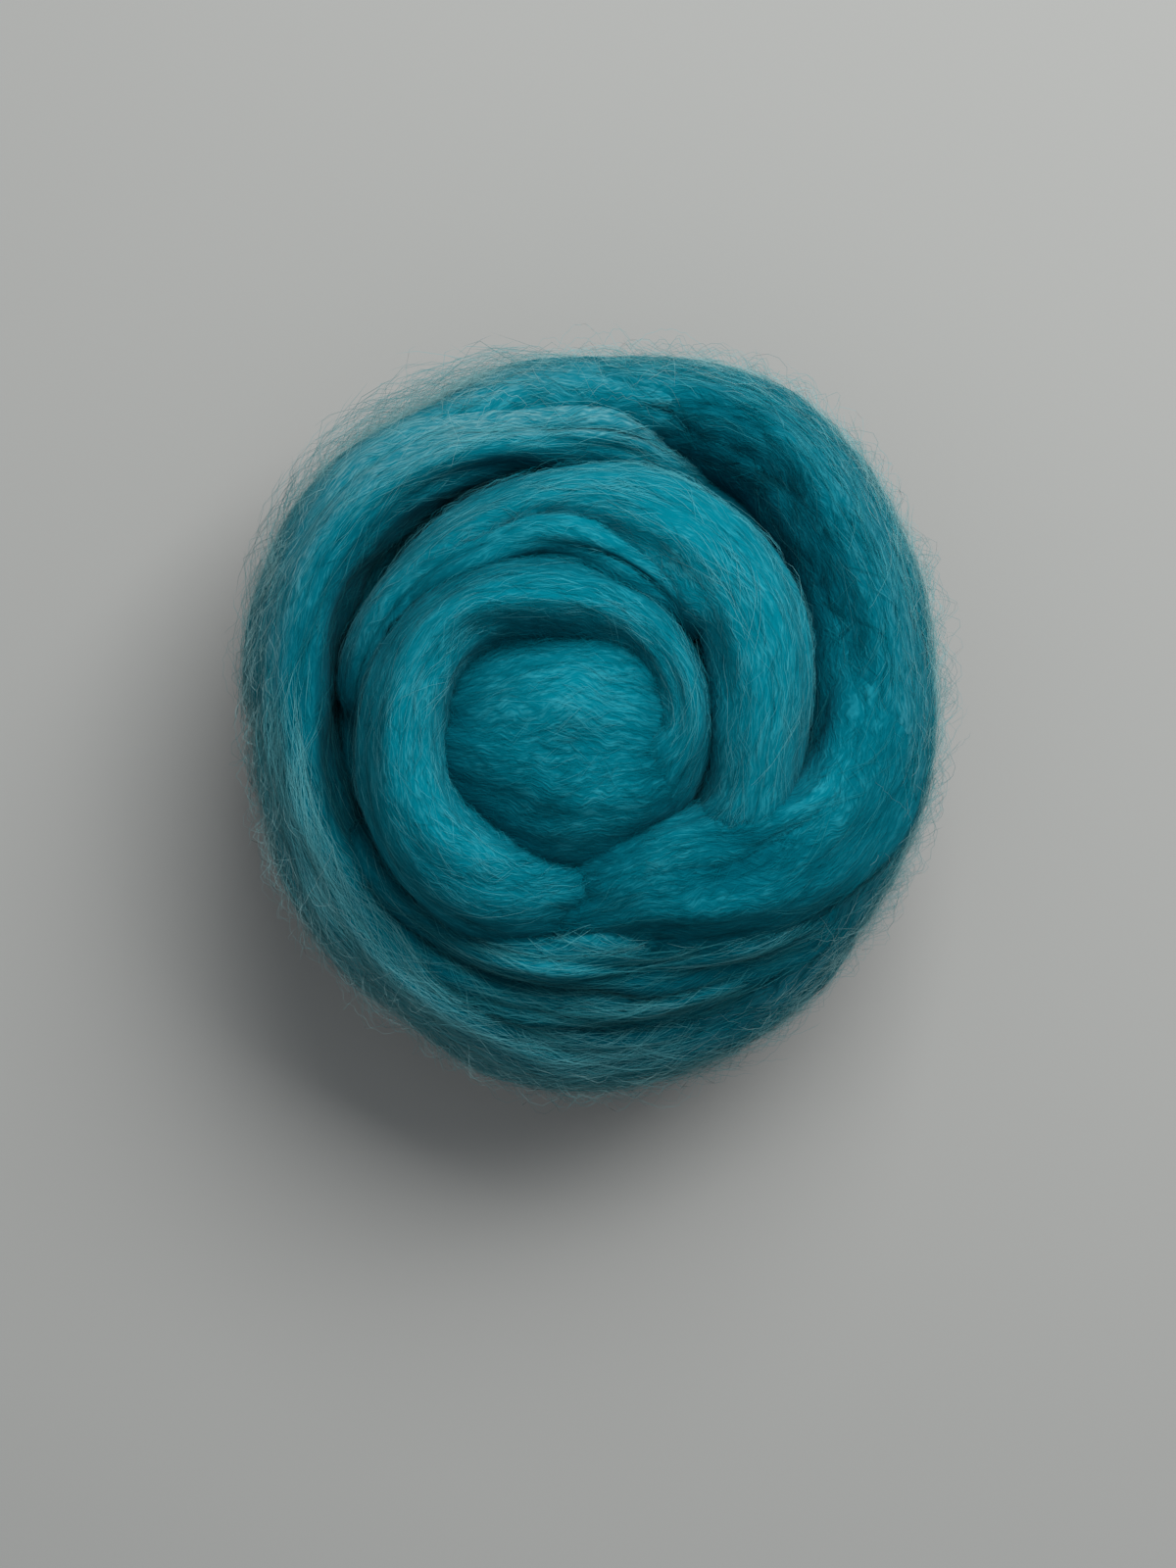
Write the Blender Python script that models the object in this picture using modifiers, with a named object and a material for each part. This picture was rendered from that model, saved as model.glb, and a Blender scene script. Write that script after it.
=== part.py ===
"""A ball of wool roving: one long strand of combed wool, wound round itself and set down on a flat spot.

Metres, +Z up. The origin is at the middle of the ball's outline, on the surface it rests on. Seen from
above, +X is to the right and +Y is up. The windings lie round a coil centre that is a little off the
middle. Angles run anticlockwise from +X about that centre.

The ball is one piece, so it is one solid. Its stretches of strand are lofted one by one from short
tables, then fused into a single skin that keeps the creases between them.
"""

import math

import bmesh
import bpy

MM = 0.001

# The coil centre, and the heart of the ball that the strand starts from.
COIL_CENTRE_MM = (-4.7, -0.7)
HEART_CENTRE_MM = (0.5, -0.8, 46.0)
HEART_RADII_MM = (18.8, 17.4, 12.2)

# The packed inside of the ball, which backs every crease, and the foot that it rests on.
CORE_CENTRE_MM = (2.5, -0.5, 28.0)
CORE_RADII_MM = (38.0, 40.0, 19.0)
FOOT_CENTRE_MM = (0.0, 0.0, 15.0)
FOOT_RADII_MM = (36.0, 36.0, 18.0)

# Each row is one section of the strand:
# angle about the coil centre (degrees), radius there, width, height of its top, depth (all in mm).
STRETCHES = {
    "inner_ring": (
        (-80, 8.0, 12.0, 46.0, 18),
        (-45, 12.0, 13.0, 52.4, 20),
        (-18, 15.0, 11.0, 55.6, 20),
        (0, 16.6, 8.8, 57.0, 20),
        (45, 16.9, 9.0, 58.0, 20),
        (90, 17.2, 11.2, 59.5, 20),
        (135, 20.2, 10.0, 60.5, 21),
        (180, 21.7, 12.5, 60.5, 22),
        (215, 23.2, 14.5, 59.5, 22),
        (240, 23.4, 14.5, 57.2, 20),
        (256, 22.8, 13.5, 53.2, 19),
        (270, 21.4, 11.5, 48.5, 16),
        (288, 19.8, 8.5, 44.0, 12),
    ),
    "middle_ring": (
        (-60, 26.0, 12.0, 46.0, 20),
        (-30, 26.3, 13.0, 54.0, 22),
        (0, 26.4, 13.6, 58.5, 24),
        (35, 29.4, 16.0, 59.0, 24),
        (60, 30.8, 14.5, 58.0, 24),
        (90, 31.0, 10.0, 55.5, 22),
        (120, 29.8, 8.6, 51.0, 20),
        (150, 29.4, 6.5, 45.0, 19),
        (180, 29.0, 5.5, 38.0, 17),
        (205, 28.5, 5.5, 34.0, 14),
    ),
    "split_strand": (
        (35, 22.4, 5.5, 54.0, 14),
        (60, 23.2, 5.8, 56.5, 16),
        (90, 25.0, 6.6, 56.5, 16),
        (120, 25.6, 6.4, 54.5, 16),
        (150, 27.2, 6.0, 50.0, 15),
        (175, 28.0, 5.5, 45.0, 13),
    ),
    "left_lap": (
        (48, 38.0, 7.0, 27.0, 14),
        (66, 39.8, 8.0, 38.0, 18),
        (80, 40.2, 8.5, 45.0, 21),
        (95, 39.8, 8.8, 46.8, 22),
        (130, 41.2, 11.6, 47.0, 23),
        (155, 39.8, 11.6, 46.5, 23),
        (180, 37.6, 11.2, 46.0, 23),
        (210, 38.6, 12.0, 44.5, 23),
        (240, 40.4, 13.0, 41.0, 23),
        (270, 43.8, 15.0, 36.5, 23),
        (300, 45.2, 14.0, 33.0, 22),
        (330, 43.5, 12.0, 30.0, 19),
    ),
    "right_lap": (
        (-80, 42.0, 9.0, 27.0, 14),
        (-45, 43.0, 14.5, 36.0, 22),
        (-20, 43.0, 17.5, 42.5, 25),
        (0, 44.2, 16.5, 45.5, 27),
        (30, 47.4, 15.0, 45.5, 27),
        (55, 50.8, 12.6, 44.5, 26),
        (80, 48.2, 9.5, 42.0, 24),
        (100, 46.2, 7.0, 38.0, 18),
        (116, 44.0, 4.0, 32.0, 12),
    ),
    "right_slope": (
        (-24, 36.0, 8.0, 38.0, 15),
        (0, 38.2, 10.5, 41.5, 17),
        (25, 40.8, 11.5, 41.5, 18),
        (50, 44.2, 10.5, 40.0, 18),
        (72, 44.0, 8.0, 36.5, 16),
        (92, 42.5, 5.0, 30.0, 12),
    ),
    "lower_ridge": (
        (215, 30.5, 7.0, 40.0, 15),
        (245, 32.0, 8.0, 46.0, 16),
        (276, 32.6, 8.5, 47.0, 16),
        (298, 35.6, 8.5, 46.5, 16),
        (316, 41.0, 9.0, 42.5, 15),
        (332, 44.5, 8.0, 38.0, 13),
    ),
    "under_ridge": (
        (205, 36.0, 8.0, 38.0, 14),
        (240, 37.5, 8.0, 41.0, 15),
        (270, 38.5, 8.0, 41.0, 15),
        (295, 40.5, 8.0, 40.0, 15),
        (320, 42.5, 8.0, 36.0, 14),
    ),
    "fold_over": (
        (-104, 27.0, 4.0, 41.0, 9),
        (-86, 26.2, 7.5, 47.5, 12),
        (-64, 25.8, 12.8, 53.2, 15),
        (-43, 30.6, 16.5, 54.4, 16),
        (-28, 36.8, 16.5, 51.5, 16),
        (-14, 40.4, 15.0, 48.8, 15),
        (4, 42.8, 12.5, 46.4, 14),
        (26, 45.0, 10.0, 43.5, 12),
    ),
    "fold_ridge": (
        (-72, 20.0, 4.5, 48.5, 10),
        (-58, 19.8, 6.0, 52.5, 12),
        (-42, 22.4, 6.5, 55.0, 13),
        (-26, 30.6, 6.5, 54.0, 13),
        (-14, 36.5, 6.0, 51.5, 12),
        (0, 40.5, 4.5, 47.5, 10),
    ),
    "under_lap": (
        (20, 38.5, 22.0, 32.0, 25),
        (60, 39.5, 23.0, 31.0, 25),
        (120, 36.5, 22.0, 29.0, 24),
        (180, 32.5, 22.0, 29.0, 24),
        (240, 33.5, 22.0, 28.0, 23),
        (300, 36.5, 22.0, 27.0, 22),
        (340, 37.5, 22.0, 25.0, 21),
        (380, 37.0, 20.0, 22.0, 19),
        (420, 34.0, 16.0, 19.0, 15),
    ),
    "base_lap": (
        (60, 27.0, 20.0, 19.0, 17),
        (120, 25.0, 20.0, 18.5, 17),
        (200, 22.0, 20.0, 18.0, 16),
        (280, 23.0, 20.0, 17.5, 16),
        (350, 25.0, 18.0, 16.5, 15),
        (400, 24.0, 14.0, 14.0, 12),
    ),
    "loose_tail": (
        (98, 46.4, 8.0, 39.0, 18),
        (118, 47.2, 9.0, 38.0, 19),
        (138, 46.2, 9.0, 36.5, 19),
        (158, 43.6, 8.0, 34.5, 18),
        (188, 39.8, 5.0, 31.5, 14),
    ),
}

SECTION_SIDES = 24
STEP_DEG = 5
END_ROUND_DEG = 12  # how far from its end a stretch starts to close
LOBES = 4  # the bundles that a strand's section shows
LOBE_SHARE = 0.045  # how far a bundle stands out, as a share of the half width
LOBE_TURN_DEG = 1.1  # how far the bundles turn round the strand for each degree of winding

SKIN_VOXEL_MM = 1.1
SMOOTH_STEPS = 10
SKIN_KEPT = 0.13  # the share of the skin's triangles that is kept
FLAT_SPOT_BELOW_MM = 10.0
FLAT_SPOT_ACROSS_MM = 140.0

WOOL_TEAL = (0.004, 0.180, 0.235, 1.0)


def eased(rows, angle):
    """The row at an angle, from a Catmull-Rom curve through the table's rows."""
    last = len(rows) - 1
    i = max(k for k in range(last) if rows[k][0] <= angle or k == 0)
    before, start, end, after = (rows[min(max(k, 0), last)] for k in (i - 1, i, i + 1, i + 2))
    span = end[0] - start[0]
    t = (angle - start[0]) / span
    blends = (2 * t**3 - 3 * t**2 + 1, t**3 - 2 * t**2 + t, 3 * t**2 - 2 * t**3, t**3 - t**2)
    values = []
    for column in range(1, len(start)):
        slope_in = (end[column] - before[column]) / max(end[0] - before[0], span) * span
        slope_out = (after[column] - start[column]) / max(after[0] - start[0], span) * span
        parts = (start[column], slope_in, end[column], slope_out)
        values.append(sum(b * p for b, p in zip(blends, parts)))
    return values


def closing(angle, first, last):
    """1 along a stretch, falling as a quarter circle to nearly 0 at each end."""
    near = min(angle - first, last - angle) / END_ROUND_DEG
    return math.sqrt(max(1 - max(1 - near, 0) ** 2, 0.01))


def place_of(rows, angle):
    """The middle of the section at an angle, in mm, with its half width and half depth."""
    radius, width, top, depth = eased(rows, angle)
    turn = math.radians(angle)
    x = COIL_CENTRE_MM[0] + radius * math.cos(turn)
    y = COIL_CENTRE_MM[1] + radius * math.sin(turn)
    return x, y, top - depth / 2, width / 2, depth / 2


def section_points(rows, angle):
    """The ring of points of one section, which stands upright across the strand's run."""
    first, last = rows[0][0], rows[-1][0]
    x, y, z, half_width, half_depth = place_of(rows, angle)
    back = place_of(rows, max(angle - 1, first))
    ahead = place_of(rows, min(angle + 1, last))
    run_x, run_y = ahead[0] - back[0], ahead[1] - back[1]
    run = math.hypot(run_x, run_y)
    across = (run_y / run, -run_x / run)
    scale = closing(angle, first, last)
    points = []
    for k in range(SECTION_SIDES):
        turn = math.tau * k / SECTION_SIDES
        lobe = 1 + LOBE_SHARE * math.cos(LOBES * (turn + math.radians(LOBE_TURN_DEG * angle)))
        out = half_width * scale * lobe * math.cos(turn)
        up = half_depth * scale * lobe * math.sin(turn)
        points.append(((x + across[0] * out) * MM, (y + across[1] * out) * MM, (z + up) * MM))
    return points


def add_stretch(bm, rows):
    """Lofts one stretch of strand through its sections, closed at both ends."""
    first, last = rows[0][0], rows[-1][0]
    steps = round((last - first) / STEP_DEG)
    rings = []
    for step in range(steps + 1):
        angle = first + (last - first) * step / steps
        rings.append([bm.verts.new(point) for point in section_points(rows, angle)])
    for ring, following in zip(rings, rings[1:]):
        for k in range(SECTION_SIDES):
            beside = (k + 1) % SECTION_SIDES
            bm.faces.new((ring[k], ring[beside], following[beside], following[k]))
    bm.faces.new(rings[0][::-1])
    bm.faces.new(rings[-1])


def add_ellipsoid(bm, centre_mm, radii_mm):
    """A sphere primitive, drawn out to three radii."""
    made = bmesh.ops.create_uvsphere(bm, u_segments=48, v_segments=24, radius=1.0)
    for vert in made["verts"]:
        vert.co = [(c + r * v) * MM for c, r, v in zip(centre_mm, radii_mm, vert.co)]


def wool_material():
    material = bpy.data.materials.new("teal_wool")
    material.use_nodes = True
    shader = material.node_tree.nodes["Principled BSDF"]
    shader.inputs["Base Color"].default_value = WOOL_TEAL
    shader.inputs["Roughness"].default_value = 0.85
    shader.inputs["Metallic"].default_value = 0.0
    return material


def build_windings(collection):
    """All the stretches with the heart and the core, as one mesh of closed shapes that run through each other."""
    bm = bmesh.new()
    for rows in STRETCHES.values():
        add_stretch(bm, rows)
    heart = (
        COIL_CENTRE_MM[0] + HEART_CENTRE_MM[0],
        COIL_CENTRE_MM[1] + HEART_CENTRE_MM[1],
        HEART_CENTRE_MM[2],
    )
    add_ellipsoid(bm, heart, HEART_RADII_MM)
    add_ellipsoid(bm, CORE_CENTRE_MM, CORE_RADII_MM)
    add_ellipsoid(bm, FOOT_CENTRE_MM, FOOT_RADII_MM)
    bmesh.ops.recalc_face_normals(bm, faces=bm.faces)
    mesh = bpy.data.meshes.new("roving_ball")
    bm.to_mesh(mesh)
    bm.free()
    ball = bpy.data.objects.new("roving_ball", mesh)
    collection.objects.link(ball)
    mesh.materials.append(wool_material())
    return ball


def build_floor_cutter(collection):
    """The block below the resting surface, which leaves the ball its flat spot."""
    bm = bmesh.new()
    bmesh.ops.create_cube(bm, size=1.0)
    for vert in bm.verts:
        vert.co.x *= FLAT_SPOT_ACROSS_MM * MM
        vert.co.y *= FLAT_SPOT_ACROSS_MM * MM
        vert.co.z = (vert.co.z - 0.5) * FLAT_SPOT_BELOW_MM * MM
    mesh = bpy.data.meshes.new("floor_cutter")
    bm.to_mesh(mesh)
    bm.free()
    cutter = bpy.data.objects.new("floor_cutter", mesh)
    cutter.hide_render = True
    cutter.display_type = "WIRE"
    collection.objects.link(cutter)
    return cutter


def fuse(ball, cutter):
    """One skin round all the windings, eased, thinned out where it is smooth, and cut flat underneath."""
    skin = ball.modifiers.new("one_skin", "REMESH")
    skin.mode = "VOXEL"
    skin.voxel_size = SKIN_VOXEL_MM * MM
    ease = ball.modifiers.new("ease", "SMOOTH")
    ease.iterations = SMOOTH_STEPS
    thin = ball.modifiers.new("thin_out", "DECIMATE")
    thin.ratio = SKIN_KEPT
    flat = ball.modifiers.new("flat_spot", "BOOLEAN")
    flat.operation = "DIFFERENCE"
    flat.solver = "EXACT"
    flat.object = cutter


def main():
    for old in list(bpy.data.objects):
        bpy.data.objects.remove(old)
    parts = bpy.data.collections.new("wool_roving_ball")
    cutters = bpy.data.collections.new("cutters")
    for collection in (parts, cutters):
        bpy.context.scene.collection.children.link(collection)
    ball = build_windings(parts)
    fuse(ball, build_floor_cutter(cutters))


main()
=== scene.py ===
# %% [markdown]
# # A ball of wool roving
#
# Roving, or combed top, is a soft rope of wool whose fibres all lie along it. Nothing is spun or
# knotted, so it holds together only because thousands of crinkled fibres cling to each other. This
# ball is one length of it, wound round its own rolled-up start and set down.
#
# Real wool is all fibre, far too fine and too many to model one by one. So each stretch of the rope
# gets a closed surface with the shape of its fibre bundles, and over that come thousands of thin
# tubes for the fibres that show. The surface gives the body and the dark creases, and the tubes
# give the brushed look and the soft outline.

import bpy
import numpy as np
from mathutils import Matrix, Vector


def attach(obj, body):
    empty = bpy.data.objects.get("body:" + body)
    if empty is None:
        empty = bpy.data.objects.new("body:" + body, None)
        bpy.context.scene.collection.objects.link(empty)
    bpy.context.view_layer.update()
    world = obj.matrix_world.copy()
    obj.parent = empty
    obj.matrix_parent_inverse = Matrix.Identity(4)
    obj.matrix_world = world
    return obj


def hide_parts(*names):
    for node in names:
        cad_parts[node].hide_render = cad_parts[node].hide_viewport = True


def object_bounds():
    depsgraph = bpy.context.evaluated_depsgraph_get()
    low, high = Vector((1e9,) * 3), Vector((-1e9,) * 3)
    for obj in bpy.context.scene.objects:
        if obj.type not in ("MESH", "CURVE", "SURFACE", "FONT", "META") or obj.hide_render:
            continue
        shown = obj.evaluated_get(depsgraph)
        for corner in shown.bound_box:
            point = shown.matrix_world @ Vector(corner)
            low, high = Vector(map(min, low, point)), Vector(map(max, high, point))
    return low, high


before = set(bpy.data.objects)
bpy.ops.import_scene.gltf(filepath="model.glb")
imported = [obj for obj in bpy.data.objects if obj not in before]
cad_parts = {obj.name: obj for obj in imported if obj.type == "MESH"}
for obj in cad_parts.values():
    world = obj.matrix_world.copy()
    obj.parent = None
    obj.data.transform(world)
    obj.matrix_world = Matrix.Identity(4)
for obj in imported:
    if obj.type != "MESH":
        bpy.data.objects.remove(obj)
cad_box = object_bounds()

MM = 0.001
box_mm = [[round(value / MM, 1) for value in corner] for corner in cad_box]
print("nodes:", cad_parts, "box in mm:", box_mm)

# %% [markdown]
# ## The winding
#
# A table has one row for each section of a stretch: the angle about the coil's centre, the radius
# there, then the section's width, the height of its top and its depth, in millimetres. The solid
# model is made from nearly the same rows. A path drawn by hand would also do, but a table in polar
# columns reads like the winding itself, and a crease moves when one number does.

# %% The stretches of the strand
COIL_CENTRE = np.array([-4.7, -0.7])

STRETCHES = {
    "inner_ring": (
        (-80, 8.0, 12.0, 46.0, 18),
        (-45, 12.0, 13.0, 52.4, 20),
        (-18, 15.0, 11.0, 55.6, 20),
        (0, 16.6, 8.8, 57.0, 20),
        (45, 16.9, 9.0, 58.0, 20),
        (90, 17.2, 11.2, 59.5, 20),
        (135, 20.2, 10.0, 60.5, 21),
        (180, 21.7, 12.5, 60.5, 22),
        (215, 23.2, 14.5, 59.5, 22),
        (240, 23.4, 14.5, 57.2, 20),
        (256, 22.8, 13.5, 53.2, 19),
        (270, 21.4, 11.5, 49.2, 16),
        (288, 20.6, 10.0, 46.6, 14),
        (308, 21.0, 7.0, 43.0, 11),
    ),
    "middle_ring": (
        (-60, 26.0, 12.0, 46.0, 20),
        (-30, 26.3, 13.0, 54.0, 22),
        (0, 26.4, 13.6, 58.5, 24),
        (35, 29.4, 16.0, 59.0, 24),
        (60, 30.8, 14.5, 58.0, 24),
        (90, 31.0, 10.0, 55.5, 22),
        (120, 29.8, 8.6, 51.0, 20),
        (150, 29.4, 6.5, 45.0, 19),
        (180, 29.0, 5.5, 38.0, 17),
        (205, 28.5, 5.5, 34.0, 14),
    ),
    "split_strand": (
        (35, 22.4, 5.5, 54.0, 14),
        (60, 23.2, 5.8, 56.5, 16),
        (90, 25.0, 6.6, 56.5, 16),
        (120, 25.6, 6.4, 54.5, 16),
        (150, 27.2, 6.0, 50.0, 15),
        (175, 28.0, 5.5, 45.0, 13),
    ),
    "left_lap": (
        (48, 38.0, 7.0, 27.0, 14),
        (66, 39.8, 8.0, 38.0, 18),
        (80, 40.2, 8.5, 45.0, 21),
        (95, 39.8, 8.8, 46.8, 22),
        (130, 41.2, 11.6, 47.0, 23),
        (155, 39.8, 11.6, 46.5, 23),
        (180, 37.6, 11.2, 46.0, 23),
        (210, 38.0, 13.4, 44.5, 23),
        (240, 39.7, 14.4, 41.5, 23),
        (270, 43.8, 15.0, 36.5, 23),
        (300, 45.2, 14.0, 33.0, 22),
        (330, 43.5, 12.0, 30.0, 19),
    ),
    "right_lap": (
        (-80, 42.0, 9.0, 27.0, 14),
        (-45, 43.0, 14.5, 36.0, 22),
        (-20, 43.0, 17.5, 42.5, 25),
        (0, 44.2, 16.5, 45.5, 27),
        (30, 47.4, 15.0, 45.5, 27),
        (55, 50.8, 12.6, 44.5, 26),
        (80, 48.2, 9.5, 42.0, 24),
        (100, 46.2, 7.0, 38.0, 18),
        (116, 44.0, 4.0, 32.0, 12),
    ),
    "right_slope": (
        (-24, 36.0, 8.0, 38.0, 15),
        (0, 39.0, 11.0, 42.0, 17),
        (25, 42.0, 13.0, 40.5, 19),
        (50, 45.4, 12.5, 39.3, 19),
        (72, 45.0, 10.5, 38.3, 18),
        (92, 43.4, 7.0, 35.0, 15),
    ),
    "lower_ridge": (
        (205, 31.5, 6.5, 41.5, 15),
        (245, 32.2, 8.0, 46.0, 16),
        (276, 32.6, 8.5, 47.0, 16),
        (298, 35.0, 9.5, 47.0, 16),
        (316, 39.8, 10.5, 44.0, 16),
        (332, 43.6, 9.0, 39.5, 14),
    ),
    "under_ridge": (
        (205, 36.0, 8.0, 38.0, 14),
        (240, 37.5, 8.0, 41.0, 15),
        (270, 38.5, 8.0, 41.0, 15),
        (295, 40.5, 8.0, 40.0, 15),
        (320, 42.5, 8.0, 36.0, 14),
    ),
    "fold_over": (
        (-104, 27.0, 4.0, 41.0, 9),
        (-86, 26.2, 7.5, 47.5, 12),
        (-64, 25.8, 12.8, 53.2, 15),
        (-43, 30.6, 16.5, 54.4, 16),
        (-28, 36.8, 16.5, 51.5, 16),
        (-14, 40.4, 15.0, 48.8, 15),
        (4, 42.6, 12.5, 45.6, 14),
        (24, 44.8, 9.5, 41.2, 12),
    ),
    "fold_ridge": (
        (-92, 19.6, 5.0, 47.0, 10),
        (-74, 19.6, 6.5, 50.5, 12),
        (-58, 19.8, 6.5, 52.5, 12),
        (-42, 22.4, 6.5, 55.0, 13),
        (-26, 30.6, 6.5, 54.0, 13),
        (-14, 36.5, 6.0, 51.0, 12),
        (0, 39.4, 6.5, 46.4, 12),
        (12, 40.6, 7.0, 43.6, 13),
        (26, 41.5, 5.0, 39.0, 10),
    ),
    "loose_tail": (
        (66, 46.4, 6.5, 43.0, 14),
        (88, 45.4, 8.0, 43.4, 17),
        (108, 45.4, 8.5, 41.2, 18),
        (130, 44.8, 8.0, 39.0, 18),
        (152, 42.6, 7.0, 36.5, 17),
        (180, 41.0, 5.5, 32.5, 15),
    ),
    "under_lap": (
        (20, 38.5, 22.0, 32.0, 25),
        (60, 39.5, 23.0, 31.0, 25),
        (120, 36.5, 22.0, 29.0, 24),
        (180, 32.5, 22.0, 29.0, 24),
        (240, 33.5, 22.0, 28.0, 23),
        (300, 36.5, 22.0, 27.0, 22),
        (340, 37.5, 22.0, 25.0, 21),
        (380, 37.0, 20.0, 22.0, 19),
        (420, 34.0, 16.0, 19.0, 15),
    ),
    "base_lap": (
        (60, 27.0, 20.0, 19.0, 17),
        (120, 25.0, 20.0, 18.5, 17),
        (200, 22.0, 20.0, 18.0, 16),
        (280, 23.0, 20.0, 17.5, 16),
        (350, 25.0, 18.0, 16.5, 15),
        (400, 24.0, 14.0, 14.0, 12),
    ),
}

# The loose fibre round the outermost lap's end, which has no surface of its own.
VEIL = (
    (84, 48.8, 7.0, 41.5, 17),
    (100, 48.6, 10.5, 40.8, 20),
    (114, 47.9, 12.0, 40.2, 22),
    (130, 47.2, 12.5, 39.0, 23),
    (150, 44.6, 11.5, 37.5, 23),
    (175, 41.2, 9.5, 35.0, 22),
    (200, 40.8, 8.0, 32.0, 20),
)

# %% Reading between the rows
def rows_at(rows, angles):
    """The table's columns at any angles: between two rows runs the cubic whose slope at each row is
    that from the row before to the row after."""
    rows = np.asarray(rows, float)
    at, table = rows[:, 0], rows[:, 1:]
    last = len(rows) - 1
    i = np.clip(np.searchsorted(at, angles, side="right") - 1, 0, last - 1)
    before, start, end, after = (np.clip(i + step, 0, last) for step in (-1, 0, 1, 2))
    span = at[end] - at[start]
    t = ((angles - at[start]) / span)[:, None]

    def slope(a, b):
        return (table[b] - table[a]) * (span / np.maximum(at[b] - at[a], span))[:, None]

    return (
        (2 * t**3 - 3 * t**2 + 1) * table[start]
        + (t**3 - 2 * t**2 + t) * slope(before, end)
        + (3 * t**2 - 2 * t**3) * table[end]
        + (t**3 - t**2) * slope(start, after)
    )


def unit(vectors):
    """Each vector over its own length."""
    return vectors / np.maximum(np.linalg.norm(vectors, axis=-1, keepdims=True), 1e-12)


# %% [markdown]
# ## A strand as a surface
#
# A section of the rope is an ellipse that stands upright across its run. The surface is the sweep
# of that ellipse along the middle line, a function of two numbers: how far along, in millimetres,
# and how far round, as an angle. The fibres need the same function, because each one is a line
# drawn on the surface and then lifted off it. Blender's own curve bevel would make the sweep but
# not hand over that function, so numpy does the work.
#
# Combed wool isn't smooth across its run: its fibres gather in bundles a few millimetres wide,
# which turn slowly round the strand. A sum of a few cosines of the angle, each drifting along the
# run, gives those.

# %% The strand class
rng = np.random.default_rng(28)

# The kinds of bundle, in mm round the section from one bundle to the next of its kind.
BUNDLE_WIDTHS = (16, 11, 8, 5.5, 4, 2.9)
BUNDLE_HEIGHT = 1.5  # mm, shared out over the kinds, less for the finer ones
DRIFT_MM = 60  # the least length over which a bundle moves round by its own width
SWAY_MM, SWAY = (25, 60), 1.2  # how long its slow bends are, and how far they reach in radians
THIN_MM = 3  # where the strand's smaller half size is less, the bundles fade out
STEP_MM, STEP_TURN = 0.4, 0.05  # the short steps that measure which way the skin faces
EVERY, THINNEST_MM = 4, 0.3  # distances count from every fourth section, none thinner than this
AT_ONCE = 4000  # how many points are measured together, to spare memory


class Strand:
    """A stretch of roving: a middle line with a half width and a half depth at each of its points,
    in mm."""

    def __init__(self, middle, half_width, half_depth, rough=1.0):
        run = unit(np.gradient(middle[:, :2], axis=0))
        across = np.stack([run[:, 1], -run[:, 0]], axis=1)
        steps = np.linalg.norm(np.diff(middle, axis=0), axis=1)
        self.along = np.concatenate([[0.0], np.cumsum(steps)])
        self.length = self.along[-1]
        self.columns = np.column_stack([middle, across, half_width, half_depth])
        self.height = BUNDLE_HEIGHT * rough
        self.girth = 2 * np.pi * np.sqrt((half_width**2 + half_depth**2).mean() / 2)
        self.bundles = np.maximum(np.round(self.girth / np.array(BUNDLE_WIDTHS)), 2)
        self.phases = rng.uniform(0, 2 * np.pi, len(self.bundles))
        self.drifts = rng.uniform(-1, 1, len(self.bundles)) * 2 * np.pi / DRIFT_MM
        self.sways = rng.uniform(*SWAY_MM, len(self.bundles))

    def at(self, along):
        """The columns at any distance along, read off between the stored points."""
        return [np.interp(along, self.along, column) for column in self.columns.T]

    def relief(self, along, turn):
        """How far the bundles stand out: the sum of cosines of a whole number times the turn, plus
        a drift times the distance along, plus a slow sine of that distance."""
        height = 0.0
        for width, count, phase, drift, sway in zip(
            BUNDLE_WIDTHS, self.bundles, self.phases, self.drifts, self.sways
        ):
            wander = SWAY * np.sin(2 * np.pi * along / sway + 2 * phase)
            height = height + width * np.cos(count * turn + drift * along + wander + phase)
        return self.height * height / sum(BUNDLE_WIDTHS)

    def skin(self, along, turn, lift=0.0, share=1.0):
        """Points on the strand: the middle, plus the half width times the cosine of the turn
        sideways, plus the half depth times its sine upwards, moved out by the bundles' relief and
        the lift."""
        x, y, z, ax, ay, wide, deep = self.at(along)
        c, s = np.cos(turn), np.sin(turn)
        small = np.minimum(wide, deep)
        stand = lift + self.relief(along, turn) * np.clip(small / THIN_MM, 0, 1)
        out = wide * c * share + stand * c
        up = deep * s * share + stand * s
        points = np.stack([x + ax * out, y + ay * out, z + up], axis=-1)
        points[..., 2] = np.maximum(points[..., 2], 0.0)
        return points

    def facing(self, along, turn):
        """The way the skin faces: a short step along it, crossed with a short step round it."""
        forward = self.skin(along + STEP_MM, turn) - self.skin(along - STEP_MM, turn)
        onward = self.skin(along, turn + STEP_TURN) - self.skin(along, turn - STEP_TURN)
        return unit(np.cross(forward, onward))

    def clear_of(self, points):
        """Roughly how far points lie outside the strand in mm, less than 0 inside: the root of the
        ellipse's own sum of squares at the nearest section, less 1, times the smaller half size."""
        x, y, z, ax, ay, wide, deep = self.columns[::EVERY].T
        found = np.empty(len(points))
        for start in range(0, len(points), AT_ONCE):
            p = points[start : start + AT_ONCE]
            gap = (p[:, :1] - x) ** 2 + (p[:, 1:2] - y) ** 2
            i = gap.argmin(axis=1)
            side = (p[:, 0] - x[i]) * ax[i] + (p[:, 1] - y[i]) * ay[i]
            run = -(p[:, 0] - x[i]) * ay[i] + (p[:, 1] - y[i]) * ax[i]
            w, d = np.maximum(wide[i], THINNEST_MM), np.maximum(deep[i], THINNEST_MM)
            share = np.sqrt((side / w) ** 2 + ((p[:, 2] - z[i]) / d) ** 2 + (run / w) ** 2)
            found[start : start + AT_ONCE] = (share - 1) * np.minimum(w, d)
        return found


# %% Every stretch as a strand
ENDS_DEG = 12  # a strand closes over this angle at each end
SECTIONS_PER_DEG = 2

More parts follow.
